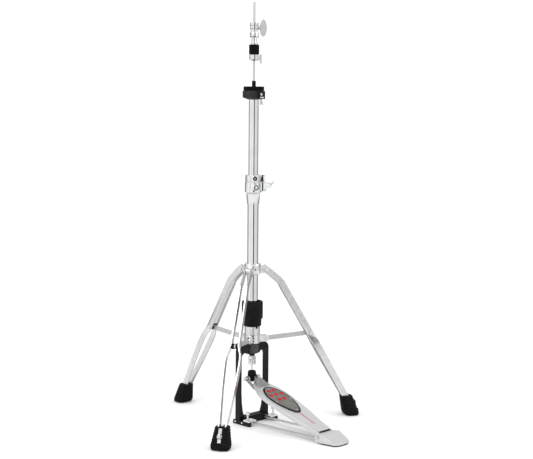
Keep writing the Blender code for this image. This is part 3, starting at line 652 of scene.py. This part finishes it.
def footboard():
    """A dished board with rounded skirts, its toe scoop, the slot behind the heel, a black sheet of painted shade,
    and the red centre stripe.
    """
    top = BOARD_RISE
    rings = []
    for distance, half, depth in smooth_board():
        bottom = top - depth
        low = top - BOARD_THICK
        dish = 0.5 * min(1.0, half / 40)
        corner = []
        for step in range(5):
            a = math.pi / 2 * step / 4
            corner.append((half - 2.5 + 2.5 * math.sin(a), top - 2.5 + 2.5 * math.cos(a)))
        middle = [(half * share, top - dish * (1 - share**2)) for share in (0.0, 0.25, 0.5, 0.75)]
        right = [*middle, *corner, (half, bottom + 0.8), (half - 0.8, bottom), (half - 3, bottom), (half - 3, low)]
        left = [(-across, rise) for across, rise in reversed(right) if across > 0]
        rings.append([on_board(distance, across, rise) for across, rise in right + left])
    scoop = []
    for distance, half, height in ((230, 22, 0.2), (236, 21, 2), (242, 18, 4), (247, 16, 6), (252, 13.5, 8), (258.5, 11, 10)):
        low = top - BOARD_THICK + 1
        edge = [(-half, low), (half, low), (half, top + height - 1.5), (half - 1.5, top + height)]
        edge += [(-half + 1.5, top + height), (-half, top + height - 1.5)]
        scoop.append([on_board(distance, across, rise) for across, rise in edge])
    barrel = rod((-28, HINGE.y, HINGE.z), (28, HINGE.y, HINGE.z), 5.9, 40)
    # The slot is not cut: a black sheet on the board is painted shade where the slot would be.
    slot = [(20.5 * x, 8.5 + y) for x, y in ((-1, -3.4), (1, -3.4), (1, 3.4), (-1, 3.4))]
    stripe = [(-1, 43.4), (1, 43.4), (1, 100.6), (-1, 100.6)]
    shapes = [(loft(rings), SILVER), (loft(scoop), ZINC), (barrel, SILVER)]
    for outline, look, rise in ((slot, SHADE_BLACK, 0.15), (stripe, RED, 0.12)):
        sheet = loft([[on_board(d, x, top + h) for x, d in outline] for h in (-1.0, rise)])
        shapes.append((sheet, look))
    piece("footboard_look", "footboard", shapes, "footboard", 0.3)


def grip_half_width(share, most=GRIP_HALF_WIDTH):
    """Half the leaf's width, from its blunt heel end (0) past its widest to its rounded toe end (1)."""
    swell = max(math.sin(math.pi * share**1.25), 0.0) ** 0.55
    return 4 + (most - 4) * swell


def leaf(inset):
    """The traction plate's outline, drawn in by that much."""
    start, end = GRIP_SPAN[0] + inset, GRIP_SPAN[1] - inset
    right = []
    for i in range(41):
        share = i / 40
        distance = start + (end - start) * share
        right.append((grip_half_width(share, GRIP_HALF_WIDTH) - inset * 0.9, distance))
    return right + [(-across, distance) for across, distance in reversed(right)]


def sheet_on_board(outline, low, high):
    return loft([[on_board(d, x, rise) for x, d in outline] for rise in (low, high)])


def traction_plate():
    """A black rim round an olive grit inset, seven red dots in rows of two, three and two, and its screws."""
    low, high = BOARD_RISE + 0.3, BOARD_RISE + 2.0
    shapes = [(sheet_on_board(leaf(-1), low, high - 0.25), RUBBER), (sheet_on_board(leaf(2.2), low, high), GRIP)]
    for across, distance in DOTS:
        start = on_board(distance, across, high - 0.4)
        dome = [(6.0, 0), (6.0, 0.5), (5.2, 0.75), (3.0, 0.9)]
        shapes.append((placed(turned(dome, 32, bored=False), start, BOARD_NORMAL), RED))
    for across, distance in BOARD_SCREWS:
        start = on_board(distance, across, high - 0.4)
        shapes.append((bolt_head(start, BOARD_NORMAL, 2.2, 1.0), CHROME))
        # Black stubs in the screws are painted shade for their sockets.
        shapes.append((rod(start + BOARD_NORMAL * 0.8, start + BOARD_NORMAL * 1.15, 0.9, 6), SHADE_BLACK))
    piece("traction_plate_look", "footboard", shapes, "traction_plate", 0.2)


def foot(leg):
    """A ribbed rubber boot with its socket mouths and a hole, shown as black painted shade, a steel strip down its
    nose and the bolt that holds it.
    """
    rings = []
    count = 48
    levels = [(0.0, 1.0), (1.2, 0.0), (4.8, 0.0)]
    for rib in range(7):
        z = 5.0 + 6.6 * rib
        levels += [(z, 0.0), (z + 0.9, RIB_DEPTH), (z + 2.9, RIB_DEPTH), (z + 3.8, 0.0)]
    levels += [(50.8, 0.0), (52.0, 1.6)]
    for z, inset in levels:
        inner, outer, half = foot_section(z)
        middle, reach = (inner + outer) / 2, (outer - inner) / 2 - inset
        ring = []
        for i in range(count):
            x, y = math.cos(2 * math.pi * i / count), math.sin(2 * math.pi * i / count)
            swell = (abs(x) ** 3.2 + abs(y) ** 3.2) ** (-1 / 3.2)
            ring.append(in_leg(leg, middle + reach * x * swell, (half - inset) * y * swell, z))
        rings.append(ring)
    shapes = [(loft(rings), RUBBER)]
    out = in_leg(leg, 1, 0, 0)
    across = in_leg(leg, 0, 1, 0)
    strip = []
    for z in (19, 26, 34, 46, 51):
        outer = foot_section(z)[1]
        corners = ((outer - 2.5, -4.2), (outer - 2.5, 4.2), (outer + 0.7, 4.2), (outer + 0.7, -4.2))
        strip.append([in_leg(leg, r, y, z) for r, y in corners])
    shapes.append((loft(strip), CHROME))
    nose = in_leg(leg, foot_section(33)[1] + 0.4, 0, 33)
    tilt = (out * 0.96 + UP * 0.28).normalized()
    # The black discs behind and inside the washer are painted shade for the socket's mouth and bore.
    shapes.append((placed(turned([(7.2, -1), (7.2, 0.9)], 32, bored=False), nose, tilt), SHADE_BLACK))
    shapes.append((placed(turned([(6.4, 0), (6.4, 1.4), (5.6, 2)], 32, bored=False), nose, tilt), CHROME))
    shapes.append((placed(turned([(4.7, 1), (4.7, 2.3)], 32, bored=False), nose, tilt), SHADE_BLACK))
    shapes.append((hex_head(nose + tilt * 1.5, tilt, 4.2, 2.8), CHROME))
    # A black sheet low on the boot is painted shade for a hole.
    hole = in_leg(leg, foot_section(8)[1] - 0.2, 0, 9)
    shapes.append((block(hole, (11, 12, 1.4), across, UP), SHADE_BLACK))
    nub = in_leg(leg, on_leg(57) + 7.5, 0, 52.5)
    shapes.append((bolt_head(nub, UP, 4.2, 3.6), CHROME))
    piece(f"foot_{leg}_look", "leg_" + leg, shapes, "foot_" + leg, 0.25)


def foot_section(z):
    """(inner reach, outer reach, half width) of a foot at a height."""
    for low, high in zip(FOOT_SHAPE, FOOT_SHAPE[1:]):
        if z <= high[0]:
            share = (z - low[0]) / (high[0] - low[0])
            return tuple(a + (b - a) * share for a, b in zip(low[1:], high[1:]))
    return FOOT_SHAPE[-1][1:]


def leg_details(leg):
    """The brace pivot's spacers and rivet heads, which are fixed to the leg's bars."""
    pivot = (on_leg(BRACE_LEG_Z), BRACE_LEG_Z)
    across = in_leg(leg, 0, 1, 0)
    shapes = {-1: [], 1: []}
    for side in (-1, 1):
        inner = in_leg(leg, pivot[0], side * 2.4, pivot[1])
        outer = in_leg(leg, pivot[0], side * 8.2, pivot[1])
        shapes[side].append((rod(inner, outer, 7.0), BLACK))
        head = in_leg(leg, pivot[0], side * 11.6, pivot[1])
        shapes[side].append((bolt_head(head, across * side, 5.0, 2.0), CHROME))
    return shapes


def add_details(name, extras, sharp=38.0):
    """A node of the plain list with small pieces added."""
    look, slot, rounding = PLAIN.pop(name)
    refine(name, look, rounding, extras, sharp)


def ear_band(inner, outer, low, high, half=8.5):
    """A black plastic liner round an ear on the wing screws' side, between two distances from the axis."""
    middle = SIDE * (inner + outer) / 2 + UP * (low + high) / 2
    return block(middle, (outer - inner, 2 * half, high - low), SIDE, BACK)


def boss_face(turn, reach, height):
    """The middle of a boss's end, on the front of the column and turned towards SIDE, and its outward way."""
    spin = Matrix.Rotation(math.radians(turn), 3, "Z")
    way = spin @ FRONT
    return way * reach + UP * height, way


def ring_on(start, way, outer, inner, height):
    return placed(turned([(inner, 0), (outer, 0), (outer, height), (inner, height)], 48), start, way)


def clamp_details():
    """The liner round the clamp's ears and the groove round its boss, which is a black ring of painted shade."""
    start, way = boss_face(20, 24.3, 607)
    return [(ear_band(22.4, 26.0, 597.2, 619.3), BLACK), (ring_on(start, way, 6.2, 4.2, 0.5), SHADE_BLACK)]


def spring_housing_details():
    point, way = about_column(35, 20.1, 246.5)
    across = way.cross(UP)
    # A black dash on the housing is painted shade for a set screw's hole.
    return [(block(point, (6, 0.5, 4.5), across, way), SHADE_BLACK)]


def collar_details():
    """The swivel collar's slit, a black sheet of painted shade, the small block beside it, and its bolt."""
    slit, way = about_column(0, 20.55, 216)
    across = UP.cross(way)
    shapes = [(block(slit, (2.4, 0.5, 21), across, way), SHADE_BLACK)]
    lug, lug_way = about_column(9, 20.6, 216)
    shapes.append((block(lug, (5, 3.0, 12), UP.cross(lug_way), lug_way), CHROME))
    shapes.append((bolt_head(lug + lug_way * 1.4, lug_way, 2.4, 1.4), CHROME))
    for angle in LEG_ANGLES.values():
        turn = Matrix.Rotation(math.radians(angle), 4, "Z")
        for side in (-1, 1):
            start = turn @ Vector((36, side * 6.4, 215.5))
            shapes.append((bolt_head(start, turn @ Vector((0, side, 0)), 4.0, 1.8), CHROME))
    return shapes


def leg_hub_details():
    """The set screw that locks the leg hub on the lower tube, with a black stub of painted shade for its socket."""
    point, way = about_column(18, 20.6, 397.5)
    shapes = [(placed(turned([(5, -1), (5, 1.2), (4.4, 1.8)], 32, bored=False), point, way), CHROME)]
    shapes.append((rod(point + way * 1.4, point + way * 2.0, 2.2, 6), SHADE_BLACK))
    return shapes


def seat_cup():
    """The fluted cup, with a black sheet on the screw's side, painted shade for a recess, that shows the tilter's
    disc and its arm.
    """
    low, high, r = 828.3, 850.0, 28.5
    profile = [(8, low), (15, low), (20, low + 2), (r - 1, low + 4.6), (r, low + 6, 1), (r, high - 1.2, 1)]
    profile += [(r - 0.8, high), (8, high)]
    shapes = [(turned(profile, 192, flutes=16, depth=1.1), CHARCOAL)]
    # The recess is not cut: a black sheet laid on the cup's surface is painted shade.
    shade_patch = []
    for degrees in range(14, 90, 2):
        shade_patch.append(about_column(degrees, 28.7, 0)[0].xy)
    inner = [about_column(degrees, 27.0, 0)[0].xy for degrees in range(88, 13, -2)]
    shapes.append((loft([[Vector((*xy, z)) for xy in shade_patch + inner] for z in (829.5, 849.6)]), BLACK))
    disc, way = about_column(42, 28.4, 841)
    shapes.append((bolt_head(disc, way, 3.4, 1.2), CHROME))
    arm, arm_way = about_column(46, 28.4, 833.5)
    shapes.append((block(arm, (13, 1.4, 3.4), UP.cross(arm_way), arm_way), SATIN))
    piece("seat_cup_look", "seat", shapes, "seat_cup", 0.25)


def clutch_grooves():
    """Grooves round the clutch's body, drawn as thin black rings of painted shade, not cut into it."""
    shapes = []
    for low, high in ((984.6, 985.6), (991.5, 992.2), (1004.0, 1004.8), (1012.5, 1013.2)):
        shapes.append((turned([(10.9, low), (11.08, low), (11.08, high), (10.9, high)], 48), SHADE_BLACK))
    return shapes


def return_spring():
    """The coil stands on the frame, as a piece with a mesh of its own."""
    made = piece(
        "return_spring_look", "base", [(refined("return_spring"), CHROME)], "return_spring", 0
    )
    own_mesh(made)


def lock_details():
    """The liner round the memory lock's ear, the groove round its boss as a black ring of painted shade, and the key
    bolt in its boss.
    """
    start, way = boss_face(12, 23.4, 629.5)
    shapes = [(ear_band(22.4, 26.0, 621.1, 637.9), BLACK), (ring_on(start, way, 5.5, 2.8, 0.3), SHADE_BLACK)]
    shapes.append((block(start + way * 0.8, (4.2, 4.2, 2.4), way.cross(UP), UP), CHROME))
    return shapes


# Nodes that keep their CAD shape, with rounded edges: name -> (material, slot, rounding)
PLAIN = {
    "pedal_frame": (IRON, "dark_casting", 1.2),
    "cross_plate": (BLACK, "black_plastic", 0.8),
    "lower_bushing": (BLACK, "black_plastic", 0.4),
    "clamp_plate_left": (CHROME, "chrome", 0.7),
    "clamp_plate_right": (CHROME, "chrome", 0.7),
    "radius_rod_left": (STEEL, "chrome", 0.4),
    "radius_rod_right": (STEEL, "chrome", 0.4),
    "heel_plate": (SILVER, "satin_silver", 1.0),
    "heel_pad": (RUBBER, "black_rubber", 0.5),
    "hinge_pin": (CHROME, "chrome", 0.4),
    "spring_housing": (SATIN, "chrome", 0.6),
    "lower_tube": (CHROME, "chrome", 0.2),
    "height_clamp": (CHROME, "chrome", 0.7),
    "tube_bushing": (BLACK, "black_plastic", 0.3),
    "thumb_screw_left": (CHROME, "chrome", 0.5),
    "thumb_screw_right": (CHROME, "chrome", 0.5),
    "footboard": (SILVER, "satin_silver", 0.8),
    "traction_plate": (GRIP, "olive_grip", 0.5),
    "toe_bracket": (ZINC, "satin_silver", 0.5),
    "toe_axle": (CHROME, "chrome", 0.4),
    "rod_connector": (CHROME, "chrome", 0.8),
    "connector_pin": (CHROME, "chrome", 0.4),
    "lower_pull_rod": (CHROME, "chrome", 0.4),
    "upper_pull_rod": (STEEL, "chrome", 0.4),
    "spring_collar": (BLACK, "chrome", 0.4),
    "return_spring": (CHROME, "chrome", 0.0),
    "swivel_stud": (CHROME, "chrome", 0.4),
    "swivel_cap": (BLACK, "black_plastic", 0.6),
    "tension_knob": (BLACK, "black_plastic", 0.6),
    "clamp_wing": (CHROME, "chrome", 1.0),
    "upper_tube": (CHROME, "chrome", 0.2),
    "seat_sleeve": (BLACK, "black_plastic", 0.4),
    "memory_lock": (CHROME, "chrome", 0.7),
    "seat_cup": (CHARCOAL, "black_plastic", 0.6),
    "seat_felt": (FELT, "black_felt", 1.0),
    "tilt_screw": (CHROME, "chrome", 0.7),
    "clutch_body": (CHROME, "chrome", 0.5),
    "clutch_jam_nut": (CHROME, "chrome", 0.5),
    "clutch_felt_upper": (FELT, "black_felt", 0.8),
    "clutch_felt_lower": (FELT, "black_felt", 0.8),
    "clutch_nut": (CHROME, "chrome", 0.5),
    "clutch_wing": (STEEL, "chrome", 1.0),
    "clutch_lever": (STEEL, "chrome", 0.6),
    "brace_collar": (CHROME, "chrome", 0.7),
    "leg_hub": (CHROME, "chrome", 0.7),
}
for leg in LEG_ANGLES:
    PLAIN["leg_bar_left_" + leg] = (SATIN, "chrome", 0.6)
    PLAIN["leg_bar_right_" + leg] = (SATIN, "chrome", 0.6)
    PLAIN["hub_rivet_" + leg] = (CHROME, "chrome", 0.6)
    PLAIN["brace_" + leg] = (STEEL, "chrome", 0.6)
    PLAIN["foot_" + leg] = (RUBBER, "black_rubber", 1.0)

for drawn in (pedal_frame, footboard, traction_plate, seat_cup, return_spring):
    drawn()
    PLAIN.pop(drawn.__name__)
for leg in LEG_ANGLES:
    foot(leg)
    PLAIN.pop("foot_" + leg)
    details = leg_details(leg)
    add_details("leg_bar_left_" + leg, details[-1], 12.0)
    add_details("leg_bar_right_" + leg, details[1], 12.0)
add_details("spring_housing", spring_housing_details())
add_details("brace_collar", collar_details())
add_details("leg_hub", leg_hub_details())
add_details("height_clamp", clamp_details())
add_details("memory_lock", lock_details())
add_details("clutch_body", clutch_grooves())
for name, (look, slot, rounding) in PLAIN.items():
    refine(name, look, rounding)

floor()
studio_light()
camera()
